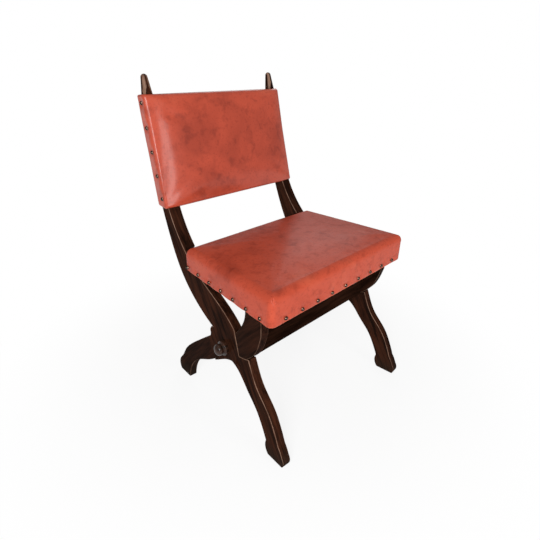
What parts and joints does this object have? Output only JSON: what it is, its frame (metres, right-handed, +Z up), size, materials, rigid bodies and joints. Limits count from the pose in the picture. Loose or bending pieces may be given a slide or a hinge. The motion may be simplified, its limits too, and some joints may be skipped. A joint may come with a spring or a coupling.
{
  "type": "upholstered x-frame side chair",
  "caption": "Fixed X-frame side chair with curved crossed side frames, a padded leather seat and leather back panel held by round-headed nails, and finial-topped posts.",
  "frame": {"origin": "bottom centre of the bounding box, on the floor", "axes": "+Z up, -Y the chair's front, +X to the right as seen from the front"},
  "size_m": [0.5404, 0.5752, 0.85],
  "materials": {
    "oak_stained": "dark walnut-stained, worn semi-gloss",
    "bracket_oak": "greyer stained face, semi-gloss",
    "hidden_beech": "plain unfinished",
    "red_leather": "semi-gloss, worn",
    "jute": "coarse weave",
    "hair_stuffing": "matted",
    "nail_bronze": "antiqued dark bronze",
    "screw_steel": "plain"
  },
  "bodies": {
    "root": {"left_post_and_front_leg": "oak_stained", "right_post_and_front_leg": "oak_stained", "left_bracket_and_rear_leg": "bracket_oak", "right_bracket_and_rear_leg": "bracket_oak", "hub_stretcher": "oak_stained", "left_hub_knob": "oak_stained", "right_hub_knob": "oak_stained", "front_board": "oak_stained", "seat_front_rail": "hidden_beech", "seat_rear_rail": "hidden_beech", "seat_left_rail": "hidden_beech", "seat_right_rail": "hidden_beech", "seat_corner_blocks": "hidden_beech", "seat_block_screws": "screw_steel", "seat_dowels": "hidden_beech", "seat_webbing": "jute", "seat_hessian": "jute", "seat_stuffing": "hair_stuffing", "seat_leather": "red_leather", "seat_front_nails": "nail_bronze", "seat_left_nails": "nail_bronze", "seat_right_nails": "nail_bronze", "back_top_rail": "hidden_beech", "back_bottom_rail": "hidden_beech", "back_webbing": "jute", "back_hessian": "jute", "back_stuffing": "hair_stuffing", "back_leather": "red_leather", "back_rear_cover": "red_leather", "back_left_nails": "nail_bronze", "back_right_nails": "nail_bronze"}
  },
  "joints": []
}
